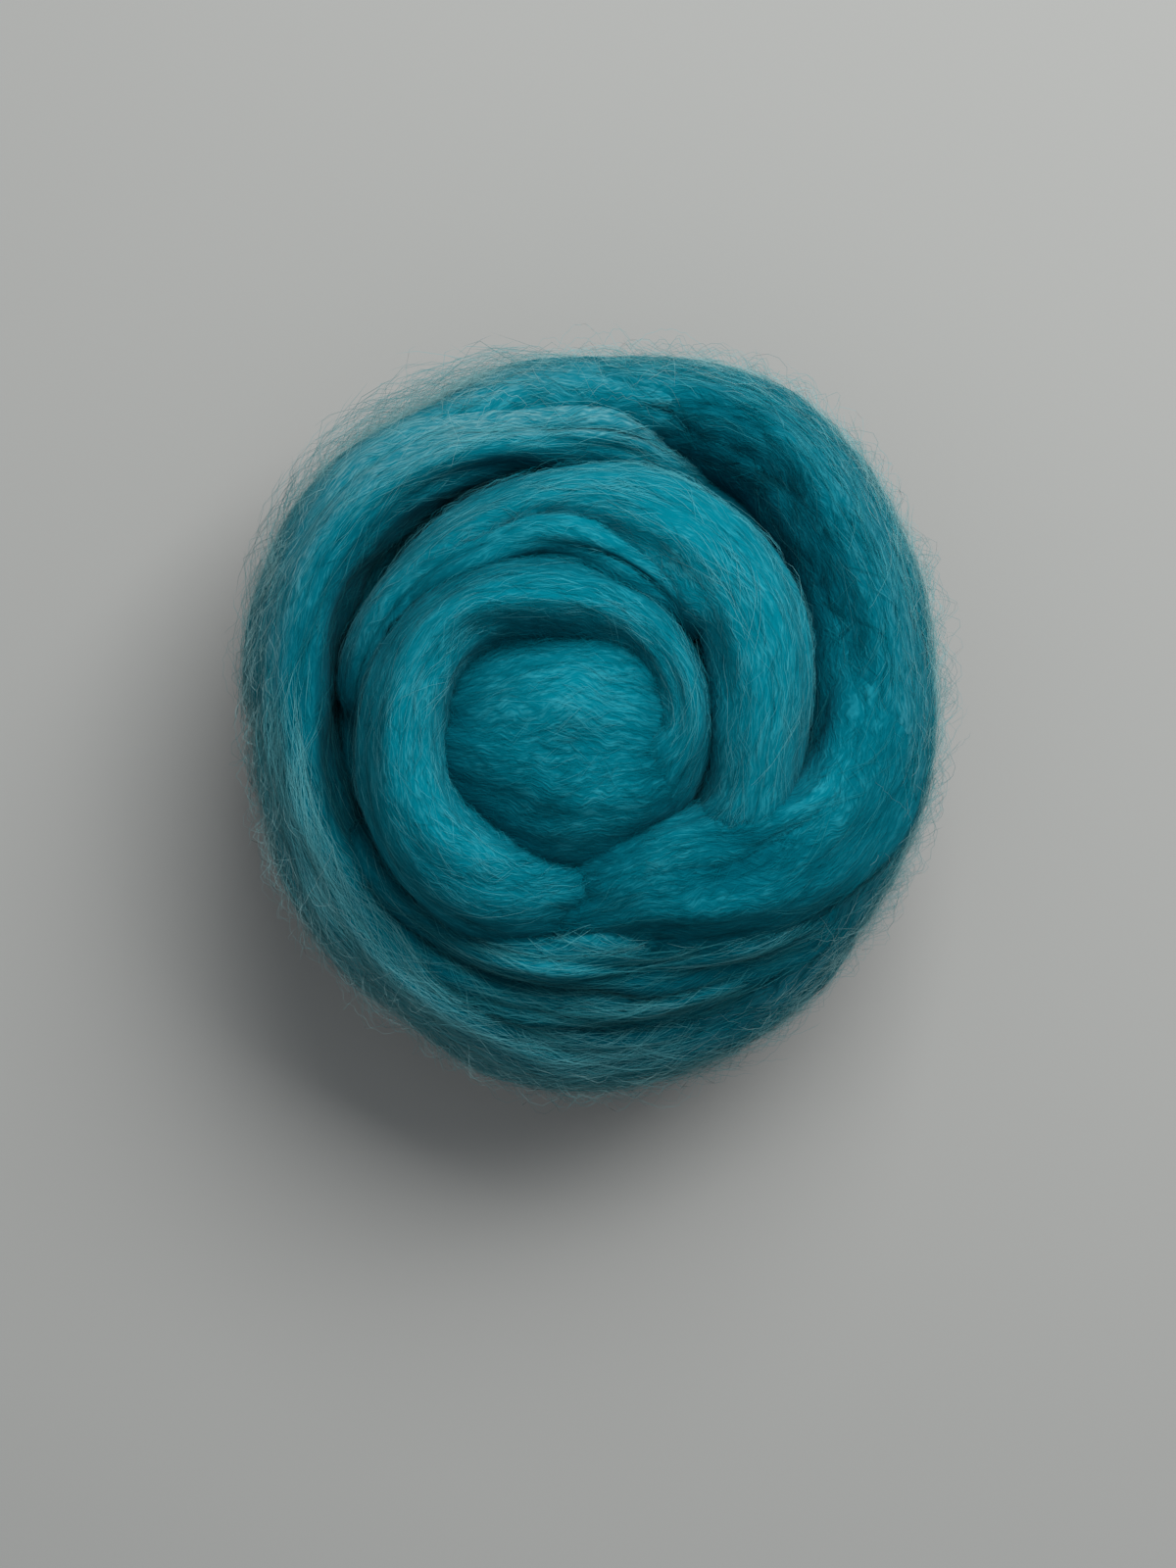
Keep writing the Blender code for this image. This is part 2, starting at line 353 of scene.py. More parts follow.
# The rolled and folded turns are smoother than the rest, the stretched outer ones stringier.
ROUGH = {
    "inner_ring": 0.6,
    "middle_ring": 0.7,
    "left_lap": 0.7,
    "right_lap": 0.5,
    "right_slope": 0.4,
    "fold_over": 0.8,
    "fold_ridge": 0.8,
    "loose_tail": 0.5,
    "lower_ridge": 1.3,
    "under_ridge": 1.3,
    "under_lap": 1.4,
}


def wound(rows, rough=1.0):
    """A strand from a table of sections about the coil's centre, closed as a quarter circle at both
    ends."""
    rows = np.asarray(rows, float)
    first, last = rows[0, 0], rows[-1, 0]
    angles = np.linspace(first, last, int((last - first) * SECTIONS_PER_DEG) + 1)
    radius, width, top, depth = rows_at(rows, angles).T
    turn = np.radians(angles)
    near = np.clip(np.minimum(angles - first, last - angles) / ENDS_DEG, 0, 1)
    close = np.sqrt(1 - (1 - near) ** 2)
    middle = np.column_stack(
        [
            COIL_CENTRE[0] + radius * np.cos(turn),
            COIL_CENTRE[1] + radius * np.sin(turn),
            top - depth / 2,
        ]
    )
    return Strand(middle, width / 2 * close, depth / 2 * close, rough)


def rounded(centre, radii, steps=181):
    """A strand with the shape of an ellipsoid, whose fibres run from its -X end to its +X end."""
    turn = np.linspace(0, np.pi, steps)
    middle = np.tile(np.asarray(centre, float), (steps, 1))
    middle[:, 0] -= radii[0] * np.cos(turn)
    return Strand(middle, radii[1] * np.sin(turn), radii[2] * np.sin(turn), rough=0.7)


strands = {name: wound(rows, ROUGH.get(name, 1.0)) for name, rows in STRETCHES.items()}
# What the strand is wound round: a centre and three half sizes, in mm.
strands["heart"] = rounded((*(COIL_CENTRE + (0.5, -0.8)), 46.0), (18.8, 17.4, 12.2))
strands["core"] = rounded((2.5, -0.5, 28.0), (38.0, 40.0, 19.0))
strands["foot"] = rounded((0.0, 0.0, 15.0), (36.0, 36.0, 18.0))
veil = wound(VEIL)
print({name: round(strand.length) for name, strand in strands.items()}, "mm long")

# %% [markdown]
# ## Why some of it is darker
#
# Beside the lamp, four things set how the wool looks from place to place. Deep in a crease the
# wool is painted darker: painted shade. Along the length and across each lap it is painted lighter
# and darker, painted light and shade that makes the inner turns lighter than the outer ones. The
# surface is rubbed paler in cloudy patches. And the outermost laps get a painted grey sheen towards
# their outer side. Painting them by hand onto the mesh would also do, but worked out as numbers at
# every point they suit the skins and the fibres alike, and follow when a lap moves.

# %% Painted crease shade, painted light and shade, painted edge sheen and rubbed patches
# For each stretch, pairs of an angle about the coil's centre and how light the wool is painted
# there: painted light and shade.
PAINTED_TONES = {
    "heart": (
        (0, 0.88), (70, 1.02), (130, 0.76), (190, 0.62), (255, 0.62), (310, 1.0), (360, 0.88),
    ),
    "inner_ring": ((-80, 1.0), (120, 1.0), (230, 1.0), (280, 0.80), (308, 0.75)),
    "middle_ring": ((-60, 0.95), (30, 1.08), (80, 1.40), (120, 1.15), (205, 0.80)),
    "split_strand": ((35, 0.95), (175, 0.95)),
    "left_lap": (
        (48, 0.80), (92, 0.92), (115, 1.05), (160, 0.48), (190, 0.52), (212, 1.25), (238, 1.40),
        (262, 0.42), (300, 0.34), (330, 0.36),
    ),
    "right_lap": ((-80, 0.50), (0, 0.43), (45, 0.45), (80, 0.52), (116, 0.75)),
    "right_slope": ((-24, 0.52), (20, 0.46), (92, 0.44)),
    "lower_ridge": ((205, 0.95), (245, 0.64), (276, 0.56), (305, 0.68), (332, 0.62)),
    "under_ridge": ((205, 0.62), (320, 0.62)),
    "fold_ridge": ((-92, 0.80), (-40, 0.95), (-14, 0.78), (4, 0.50), (26, 0.40)),
    "fold_over": ((-104, 0.62), (-50, 0.50), (-14, 0.50), (24, 0.44)),
    "loose_tail": ((66, 0.80), (120, 0.90), (180, 1.15)),
    "under_lap": ((20, 0.62), (200, 0.95), (235, 0.85), (262, 0.36), (300, 0.40), (420, 0.50)),
    "base_lap": ((60, 0.50), (400, 0.50)),
    "core": ((0, 0.45),),
    "foot": ((0, 0.45),),
}
CENTRE_TONE, CENTRE_MM = 0.9, 12  # the tone at the coil's centre, which fades out this far from it
# Creases are painted darker: painted shade, down to this share of the light and reaching this far.
PAINTED_CREASE_LIGHT, CREASE_MM = 0.40, 5.0  # how light a crease is, and how far its shade reaches
FILL_MM, FILL_REACH_MM = 1.4, 4.5  # how far fibres fill a crease, and how far off that starts

# Pairs of stretches that run into each other with no painted crease shade between, and how far in
# mm the join is filled. That starts from twice as far off.
MERGED = {
    frozenset(pair): fill
    for *pair, fill in (
        ("fold_over", "fold_ridge", 2.2),
        ("fold_over", "lower_ridge", 2.2),
        ("middle_ring", "split_strand", 2.2),
        ("fold_over", "right_lap", 2.2),
        ("fold_over", "right_slope", 2.2),
        ("fold_ridge", "right_slope", 2.2),
        ("right_lap", "right_slope", 3.6),
        ("loose_tail", "left_lap", 2.6),
        ("loose_tail", "right_lap", 2.6),
        ("left_lap", "right_lap", 2.0),
        ("left_lap", "right_slope", 2.0),
        ("loose_tail", "right_slope", 2.0),
        ("fold_ridge", "right_lap", 2.0),
    )
}
print(len(PAINTED_TONES), "strands have tones, and", len(MERGED), "pairs of them merge")

# %% Creases, and the fibre that fills them
def neighbour_gaps(points, own):
    """How far points are from the nearest strand that isn't their own, in mm, less than 0 inside
    it. The first answer counts every strand, the second only those with a crease between."""
    clear = {name: strand.clear_of(points) for name, strand in strands.items() if name != own}
    creased = [gap for name, gap in clear.items() if frozenset((name, own)) not in MERGED]
    return np.min(list(clear.values()), axis=0), np.min(creased, axis=0)


def settled(points, facing, own):
    """Points moved out where another strand lies close, because the fibres of both cling together
    there and fill the crease: the most at the touch, falling with the square of what is left of the
    reach."""
    fill = 0.0
    for name, strand in strands.items():
        if name != own:
            merged = MERGED.get(frozenset((name, own)))
            most, reach = (merged, 2 * merged) if merged else (FILL_MM, FILL_REACH_MM)
            fill = np.maximum(fill, most * np.clip(1 - strand.clear_of(points) / reach, 0, 1) ** 2)
    points = points + facing * fill[:, None]
    points[:, 2] = np.maximum(points[:, 2], 0.0)
    return points


# %% How light and how grey a place is
# How much lighter the outer side of a stretch is painted than the side that faces the coil's
# centre, as a share: painted shade on the inner side.
PAINTED_LEAN = {
    "left_lap": 0.45,
    "right_lap": 0.25,
    "right_slope": 0.30,
    "loose_tail": 0.15,
    "under_lap": 0.2,
}
# How much painted grey sheen the stretches that lie outermost get, standing in for light caught in
# the fuzz at their edges, and how that goes with where it faces: a share of it is on ground that
# faces neither in nor out, and the rest comes as it turns outwards.
EDGE_SHEEN = {
    "left_lap": 1.0,
    "right_lap": 0.7,
    "right_slope": 0.2,
    "under_lap": 0.4,
    "loose_tail": 0.7,
}
EDGE_SHEEN_SHARE, EDGE_SHEEN_GROWTH = 0.15, 1.3


def outward(points, facing):
    """How far a surface faces away from the coil's centre, from -1 to 1: its facing along the way
    out."""
    way = points[:, :2] - COIL_CENTRE
    return (facing[:, :2] * way).sum(axis=1) / np.maximum(np.linalg.norm(way, axis=1), 1.0)


def painted_light(points, facing, own):
    """How light the wool is painted, as painted light and shade: painted crease shade takes it two
    fifths down in a crease, and it is 1 out on a crest, by the gap to the nearest neighbour over a
    set distance. That is multiplied by the strand's painted tone at that angle, which fades in from
    the coil's centre, and by 1 plus the lean times how far the surface faces outwards."""
    first = PAINTED_TONES[own][0][0]
    x, y = (points[:, :2] - COIL_CENTRE).T
    angle = first + (np.degrees(np.arctan2(y, x)) - first) % 360
    tone = np.interp(angle, *zip(*PAINTED_TONES[own]))
    tone = CENTRE_TONE + (tone - CENTRE_TONE) * np.clip(np.hypot(x, y) / CENTRE_MM, 0, 1)
    tone = tone * (1 + PAINTED_LEAN.get(own, 0.0) * outward(points, facing))
    _, creased = neighbour_gaps(points, own)
    return (PAINTED_CREASE_LIGHT + (1 - PAINTED_CREASE_LIGHT) * np.clip(creased / CREASE_MM, 0, 1)) * tone


def painted_edge_sheen(points, facing, own):
    """How much painted grey sheen a place gets, standing in for light caught in the fuzz at the
    edge:
    0 on the inner turns and up to 1 on the outer ones, the strand's own amount times a share plus a
    growth times how far the surface faces outwards."""
    shown = EDGE_SHEEN_SHARE + EDGE_SHEEN_GROWTH * outward(points, facing)
    return EDGE_SHEEN.get(own, 0.0) * np.clip(shown, 0, 1)


HAZE_COUNT, HAZE_MM = 16, (8, 20)
HAZE_WAYS = unit(rng.normal(size=(HAZE_COUNT, 3)))
HAZE_WAVES = HAZE_WAYS * (2 * np.pi / rng.uniform(*HAZE_MM, (HAZE_COUNT, 1)))
HAZE_PHASES = rng.uniform(0, 2 * np.pi, HAZE_COUNT)


def haze(points):
    """Cloudy patches between 0 and 1, where the surface is rubbed paler: a sum of cosines that run
    in random directions, 8 to 20 mm a wave, drawn towards its two ends by a hyperbolic tangent."""
    total = np.cos(points @ HAZE_WAVES.T + HAZE_PHASES).sum(axis=1) / np.sqrt(HAZE_COUNT / 2)
    return 0.5 + 0.5 * np.tanh(0.8 * total)


# %% [markdown]
# ## Putting a surface into a mesh
#
# Each surface is a grid of points. Its two ends shrink to one point each, its sides meet round the
# back, and every face looks outwards, so the piece is closed. Two UV maps go with it. `strand_mm`
# measures along and round in millimetres, and carries the wool's pattern, which has to follow the
# strand. `OFBake` is the same unrolled skin laid into one square, for anything that stores the
# colours as a picture.

# %% Mesh helpers
def add_mesh(name, points, quads, triangles, maps, material):
    """One object from arrays: points in mm, faces of four and three corners, and UV values for each
    corner."""
    mesh = bpy.data.meshes.new(name)
    corners = np.concatenate([quads.ravel(), triangles.ravel()]).astype(np.int32)
    sizes = np.concatenate([np.full(len(quads), 4), np.full(len(triangles), 3)])
    starts = np.concatenate([[0], np.cumsum(sizes)[:-1]]).astype(np.int32)
    mesh.vertices.add(len(points))
    mesh.vertices.foreach_set("co", (points * MM).astype(np.float32).ravel())
    mesh.loops.add(len(corners))
    mesh.loops.foreach_set("vertex_index", corners)
    mesh.polygons.add(len(sizes))
    mesh.polygons.foreach_set("loop_start", starts)
    for map_name, values in maps.items():
        layer = mesh.uv_layers.new(name=map_name)
        layer.uv.foreach_set("vector", values.astype(np.float32).ravel())
    mesh.update(calc_edges=True)
    mesh.shade_smooth()
    mesh.materials.append(material)
    piece = bpy.data.objects.new(name, mesh)
    bpy.context.scene.collection.objects.link(piece)
    return piece


def closed_grid(rings, sides):
    """The faces of rings of points, with one more point past each end of them: a quad between each
    two points of one ring and the same two of the next, and a fan of triangles to the point at
    either end."""
    i, j = np.meshgrid(np.arange(rings - 1), np.arange(sides), indexing="ij")
    beside = (j + 1) % sides
    here, there = i * sides, (i + 1) * sides
    quads = np.stack([here + j, there + j, there + beside, here + beside], axis=-1).reshape(-1, 4)
    j = np.arange(sides)
    beside = (j + 1) % sides
    top = (rings - 1) * sides
    start, end = np.full(sides, rings * sides), np.full(sides, rings * sides + 1)
    fans = [np.stack([start, j, beside], axis=-1), np.stack([end, top + beside, top + j], axis=-1)]
    return quads, np.concatenate(fans)


def unrolled(u, v):
    """The UV values of the closed grid's face corners, in the order of its faces: u along and v
    round, from 0 to 1. A fan's tip lies midway between its two other corners."""

    def corners(*places):
        return np.stack([np.stack(np.broadcast_arrays(a, b), axis=-1) for a, b in places], axis=-2)

    here, there = u[1:-2, None], u[2:-1, None]
    low, high = v[:-1], v[1:]
    middle = (low + high) / 2
    walls = corners((here, low), (there, low), (there, high), (here, high))
    first = corners((u[0], middle), (u[1], low), (u[1], high))
    last = corners((u[-1], middle), (u[-2], high), (u[-2], low))
    return np.concatenate([part.reshape(-1, 2) for part in (walls, first, last)])


# %% A strand's skin
ALONG_MM, AROUND_MM = 1.8, 1.1  # how far apart the grid's points are
LEAST_ROWS, LEAST_SIDES = 24, 20
END_BUNCH = 0.35  # how much the rings draw together towards the two ends, from 0 to 1
SUNK_MM = 0.5  # how far the skin lies under the strand's surface, so that fibres make the outline
SIDEWAYS = (1, 0, 0)  # which way the end points face, inside the ball where it hardly shows
# Painted highlight: a bundle is painted lighter for each mm that it stands out.
PAINTED_CREST_LIGHT = 0.25  # how much lighter a bundle is for each mm that it stands out


def skin_piece(name, strand, material, offset):
    """The strand's skin as a closed grid, with the numbers that set its colour at every point. The
    offset moves its pattern round, so that no two strands have the same streaks."""
    rows = max(int(strand.length / ALONG_MM), LEAST_ROWS)
    sides = max(int(strand.girth / AROUND_MM), LEAST_SIDES)
    bunched = (1 - np.cos(np.linspace(0, np.pi, rows + 1))) / 2
    even = np.linspace(0, 1, rows + 1)
    along = strand.length * bunched * END_BUNCH + strand.length * even * (1 - END_BUNCH)
    turn = -np.pi / 2 + 2 * np.pi * np.arange(sides) / sides
    rings = along[1:-1, None], turn[None, :]
    grid = strand.skin(*rings, lift=-SUNK_MM).reshape(-1, 3)
    facing = strand.facing(*rings).reshape(-1, 3)
    grid = settled(grid, facing, name)
    ends = strand.skin(along[[0, -1]], np.zeros(2), share=0.0)
    points = np.concatenate([grid, ends])
    quads, triangles = closed_grid(rows - 1, sides)
    flat = unrolled(along / strand.length, np.arange(sides + 1) / sides)
    maps = {"OFBake": flat, "strand_mm": flat * [strand.length, strand.girth] + [0, offset]}
    piece = add_mesh(name + "_skin", points, quads, triangles, maps, material)
    standing = np.append(strand.relief(*rings).ravel(), [0, 0])
    facing = np.concatenate([facing, [SIDEWAYS, SIDEWAYS]])
    # Painted light and shade, rubbed patches, and the painted grey edge sheen, at every point.
    fields = {
        "painted_light": painted_light(points, facing, name) * (1 + PAINTED_CREST_LIGHT * standing),
        "haze": haze(points),
        "edge_sheen": painted_edge_sheen(points, facing, name),
    }
    for field, values in fields.items():
        shown = piece.data.attributes.new(field, "FLOAT", "POINT")
        shown.data.foreach_set("value", values.astype(np.float32))
    return piece


# %% [markdown]
# ## The wool's finish
#
# Dyed wool is matt, with a soft sheen where light crosses the fibres, and its colour isn't even:
# fibres take the dye unevenly and the loose ones on top catch more light, which is painted in. So
# long streaks run along the strand, broad and dark underneath, fine and pale on top where the wool
# is painted light, and the same fine streaks lift the surface as bump. All of it reads the
# `strand_mm` map, so the streaks bend with the strand.
#
# The maths is written with Python's operators on a small wrapper, which is easier to read and to
# change than a list of node links.

# %% Shader maths
class Flow:
    """A shader socket that Python's operators work on: each operator adds one Math node."""

    def __init__(self, material, socket):
        self.material, self.socket = material, socket

    def _math(self, operation, a, b):
        return self.material.node("ShaderNodeMath", {"operation": operation}, {0: a, 1: b})

    def __add__(self, other):
        return self._math("ADD", self, other)

    def __mul__(self, other):
        return self._math("MULTIPLY", self, other)

    __radd__, __rmul__ = __add__, __mul__


class Finish:
    """A material under construction, with one method that adds any node."""

    def __init__(self, name):
        self.made = bpy.data.materials.new(name)
        self.made.use_nodes = True
        self.tree = self.made.node_tree
        self.shader = self.tree.nodes["Principled BSDF"]

    def node(self, kind, settings, values, output=0):
        """Adds a node, sets it up, gives each named socket a value or a link, and hands over one
        output."""
        node = self.tree.nodes.new(kind)
        for key, value in settings.items():
            setattr(node, key, value)
        for key, value in values.items():
            self.feed(node.inputs[key], value)
        return Flow(self, node.outputs[output])

    def feed(self, socket, value):
        """Links a socket to a Flow, or sets it to a plain value."""
        if isinstance(value, Flow):
            self.tree.links.new(value.socket, socket)
        else:
            socket.default_value = value

    def mixed(self, factor, a, b):
        """A colour between two colours."""
        sockets = {"Factor": factor, 6: a, 7: b}
        return self.node("ShaderNodeMix", {"data_type": "RGBA"}, sockets, output=2)

    def vector(self, operation, a, b):
        """A vector added to another, or multiplied by it."""
        return self.node("ShaderNodeVectorMath", {"operation": operation}, {0: a, 1: b})

    def smooth(self, value, low, high):
        """0 below low and 1 above high, with an S curve between."""
        sockets = {"Value": value, "From Min": low, "From Max": high}
        return self.node("ShaderNodeMapRange", {"interpolation_type": "SMOOTHSTEP"}, sockets)

    def stored(self, name):
        """A number that the mesh holds at every point."""
        return self.node("ShaderNodeAttribute", {"attribute_name": name}, {}, output=2)

    def surface(self, **values):
        """Feeds the surface shader's sockets, whose names are written with _ for a space."""
        for name, value in values.items():
            self.feed(self.shader.inputs[name.replace("_", " ")], value)


# %% The finish of the skins
# All the wool is matt, with a faint sheen as light grazes it.
WOOLLY = {"Specular_IOR_Level": 0.0, "Sheen_Weight": 0.02, "Sheen_Tint": (0.55, 0.92, 1.0, 1)}

# SHADE_TEAL is the dark end that painted crease shade and dark streaks reach, PALE_TEAL pale fibre
# shown on places painted light as a painted highlight, GREY_TEAL the painted grey edge sheen.
SHADE_TEAL = (0.0001, 0.050, 0.074, 1)
TEAL = (0.0004, 0.150, 0.200, 1)
PALE_TEAL = (0.030, 0.285, 0.345, 1)
GREY_TEAL = (0.120, 0.285, 0.310, 1)


def streaks(finish, place, along, around, detail, seed):
    """Noise drawn out along the strand: along and around are how many times it changes in a
    millimetre, and the seed moves it to a place of its own."""
    spread = finish.vector("MULTIPLY", place, (along, around, 1.0))
    moved = finish.vector("ADD", spread, (seed, seed * 0.7, seed * 1.3))
    return finish.node("ShaderNodeTexNoise", {}, {"Vector": moved, "Scale": 1.0, "Detail": detail})


def wandering(finish, place, scale, reach):
    """The same place moved round the strand by a noise times the reach, so that streaks don't run
    dead straight."""
    sockets = {"Vector": place, "Scale": scale, "Detail": 2.0}
    noise = finish.node("ShaderNodeTexNoise", {}, sockets, output=1)
    step = finish.vector("MULTIPLY", noise, (0.0, reach, 0.0))
    return finish.vector("ADD", place, step)


def combed_wool():
    """The finish of the strand's skin. How dark the wool looks is a sum of the stored painted light
    and shade, the rubbed patches and the streaks; pale fibres lie over it where the streaks add up
    on places painted light, a painted highlight, and turn to grey where the painted edge sheen is."""
    finish = Finish("combed_wool")
    flat = finish.node("ShaderNodeUVMap", {"uv_map": "strand_mm"}, {})
    place = wandering(finish, flat, scale=0.12, reach=5.0)
    place = wandering(finish, place, scale=0.55, reach=0.6)
    locks = finish.smooth(streaks(finish, place, 0.25, 1.20, detail=4.0, seed=7.7), 0.30, 0.78)
    fine = finish.smooth(streaks(finish, place, 0.7, 5.0, detail=5.0, seed=1.9), 0.25, 0.75)
    painted_lightness, rubbed, edge_sheen = (finish.stored(name) for name in ("painted_light", "haze", "edge_sheen"))
    # Mostly painted light and shade, with rubbed patches and streaks.
    depth = painted_lightness * 0.74 + rubbed * 0.10 + locks * 0.12 + fine * 0.18
    body = finish.mixed(finish.smooth(depth, 0.0, 1.05), SHADE_TEAL, TEAL)
    # Pale fibre shows only on places painted light: partly a painted highlight.
    pale = finish.smooth(fine * 0.55 + locks * 0.30 + rubbed * 0.15, 0.38, 0.90)
    pale = pale * finish.smooth(painted_lightness, 0.1, 1.0)
    loose = finish.mixed(edge_sheen, PALE_TEAL, GREY_TEAL)
    # Pale fibre and the painted grey edge sheen over the body.
    colour = finish.mixed(pale * 0.60 + edge_sheen * painted_lightness * fine * 0.40, body, loose)
    relief = {"Strength": 0.5, "Distance": 0.0004, "Height": locks * 0.4 + fine * 0.6}
    bump = finish.node("ShaderNodeBump", {}, relief)
    finish.surface(Base_Color=colour, Normal=bump, Roughness=1.0, **WOOLLY)
    return finish.made


# %% The finish of single fibres
def fibre_finish(name, dyes):
    """The finish of single fibres, from their darkest, usual and palest colour. Their map holds how
    far along a fibre a point is, and where between those colours the fibre lies, which carries both
    its dye and painted light and shade."""
    finish = Finish(name)
    deep, middle, pale = ((*dye_and_light, 1) for dye_and_light in dyes)
    flat = finish.node("ShaderNodeUVMap", {"uv_map": "OFBake"}, {})
    dye_and_light = finish.node("ShaderNodeSeparateXYZ", {}, {"Vector": flat}, output=1)
    body = finish.mixed(finish.smooth(dye_and_light, 0.0, 0.5), deep, middle)
    colour = finish.mixed(finish.smooth(dye_and_light, 0.45, 0.95), body, pale)
    finish.surface(Base_Color=colour, Roughness=0.9, **WOOLLY)
    return finish.made


# The darkest, the usual and the palest colour of each kind of fibre; where a fibre lies between
# them comes from its dye and from painted light and shade.
FIBRE_DYES = {
    "laid_fibre": ((0.0001, 0.050, 0.074), (0.0006, 0.150, 0.197), (0.055, 0.300, 0.355)),
    "outer_fibre": ((0.0001, 0.050, 0.072), (0.0010, 0.150, 0.192), (0.060, 0.295, 0.335)),
    # The edge fibres' grey, pale colours are partly painted light: light shining through the fuzz
    # at the outline.
    "edge_fibre": ((0.045, 0.135, 0.145), (0.095, 0.225, 0.235), (0.190, 0.345, 0.355)),
    "loose_fibre": ((0.005, 0.110, 0.135), (0.025, 0.210, 0.245), (0.095, 0.325, 0.360)),
}
wool = combed_wool()
laid_wool, outer_wool, edge_wool, loose_wool = (
    fibre_finish(name, dyes) for name, dyes in FIBRE_DYES.items()
)
print("finishes:", wool.name, *FIBRE_DYES)

# %% The strand's skins
PATTERN_APART_MM = 200.0
skins = [
    skin_piece(name, strand, wool, offset=PATTERN_APART_MM * number)
    for number, (name, strand) in enumerate(strands.items())
]
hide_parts("roving_ball")
faces = sum(len(piece.data.polygons) for piece in skins)
print(len(skins), "skins with", faces, "faces")

# %% [markdown]
# ## Fibres as thin tubes
#
# A fibre is a three-sided tube that closes to a point at both ends, a few dozen faces in all.
# Thousands of them are one mesh. Hair curves would be lighter, but a mesh keeps its shape in any
# program.

# %% The tube builder
TIP = 0.25  # how thick a fibre is beside its two tips, as a share of its middle
MAP_EDGE = 0.01  # how far the fibres' map stays inside its square
LOWEST_MM = 0.02  # no fibre reaches below the ground that the ball lies on


def tube_piece(name, paths, facing, radius, dye_and_light, softness, material):
    """Three-sided tubes along paths, (tubes, knots, 3) in mm. Each ring is the path's point plus
    the radius times the cosine and the sine of a third of a turn, along two directions square to
    the run. The shading normal is the tube's own, turned by the softness towards the way the strand
    faces."""
    tubes, knots, _ = paths.shape
    run = unit(np.gradient(paths, axis=1))
    side = unit(np.cross(run, rng.normal(size=(tubes, 1, 3))))
    lift = np.cross(run, side)
    third = 2 * np.pi * np.arange(3) / 3
    shape = np.sqrt(np.clip(1 - np.linspace(-1, 1, knots) ** 4, 0, 1)) * (1 - TIP) + TIP
    size = (radius[:, None] * shape)[:, 1:-1, None, None]
    c, s = np.cos(third)[:, None], np.sin(third)[:, None]
    spokes = c * side[:, 1:-1, None] + s * lift[:, 1:-1, None]
    rings = paths[:, 1:-1, None] + size * spokes
    points = np.concatenate([paths[:, :1], rings.reshape(tubes, -1, 3), paths[:, -1:]], axis=1)
    turned = unit(spokes * (1 - softness) + facing[:, 1:-1, None] * softness).reshape(tubes, -1, 3)
    normals = np.concatenate([facing[:, :1], turned, facing[:, -1:]], axis=1)
    points[..., 2] = np.maximum(points[..., 2], LOWEST_MM)
    each = points.shape[1]
    i, j = np.meshgrid(np.arange(knots - 3), np.arange(3), indexing="ij")
    beside = (j + 1) % 3
    here, there = 1 + i * 3, 4 + i * 3
    quads = np.stack([here + j, here + beside, there + beside, there + j], -1).reshape(-1, 4)
    j = np.arange(3)
    beside = (j + 1) % 3
    end = 1 + 3 * (knots - 3)
    triangles = np.concatenate(
        [
            np.stack([np.zeros(3, int), 1 + beside, 1 + j], -1),
            np.stack([np.full(3, each - 1), end + j, end + beside], -1),
        ]
    )
    shift = (np.arange(tubes) * each)[:, None, None]
    quads = (quads[None] + shift).reshape(-1, 4)
    triangles = (triangles[None] + shift).reshape(-1, 3)
    u = np.concatenate([[0.0], np.repeat(np.linspace(0, 1, knots)[1:-1], 3), [1.0]])
    u = u * (1 - 2 * MAP_EDGE) + MAP_EDGE
    per_point = np.stack(np.broadcast_arrays(u[None], dye_and_light[:, None]), -1).reshape(-1, 2)
    corners = np.concatenate([quads.ravel(), triangles.ravel()])
    maps = {"OFBake": per_point[corners]}
    piece = add_mesh(name, points.reshape(-1, 3), quads, triangles, maps, material)
    piece.data.normals_split_custom_set_from_vertices(normals.reshape(-1, 3))
    print(name, tubes, "fibres,", len(quads) * 2 + len(triangles), "triangles")
    return piece


# %% [markdown]
# ## Fibres laid along the strands
#
# Most fibres lie nearly along the run. Each one starts as a line on the skin, given a small slant,
# a slow sway and the crinkle of wool, then is lifted: most by a few tenths of a millimetre, some by
# a few millimetres. Candidates are scattered evenly over each skin, and those whose middle lies
# inside another strand are dropped.

# %% Laid fibres
GLINT, GLINT_SHARE = 0.6, 0.09  # how much paler a fibre that catches the light is, and how many do
# A fibre's slant to the run, as a spread in radians: about a third cross it, and the rest lie
# nearly along it.
CROSSING_SHARE, CROSSING, LYING = 0.35, 0.60, 0.20
ENDS_DOWN_MM, MIDDLE_UP_MM = 0.55, 0.25  # how far its ends sink in, and how far its middle bows up
KEEP_OFF_MM = 0.5  # how far the fibres stay from the strand's two ends
# How unlike each other the fibres of a stretch are: the folded and rolled ones are felted into an
# even surface.
CONTRAST = {
    "heart": 0.5,
    "fold_over": 0.5,
    "fold_ridge": 0.5,
    "middle_ring": 1.25,
    "left_lap": 1.5,
    "right_lap": 1.5,
    "lower_ridge": 1.2,
    "under_lap": 1.4,
}


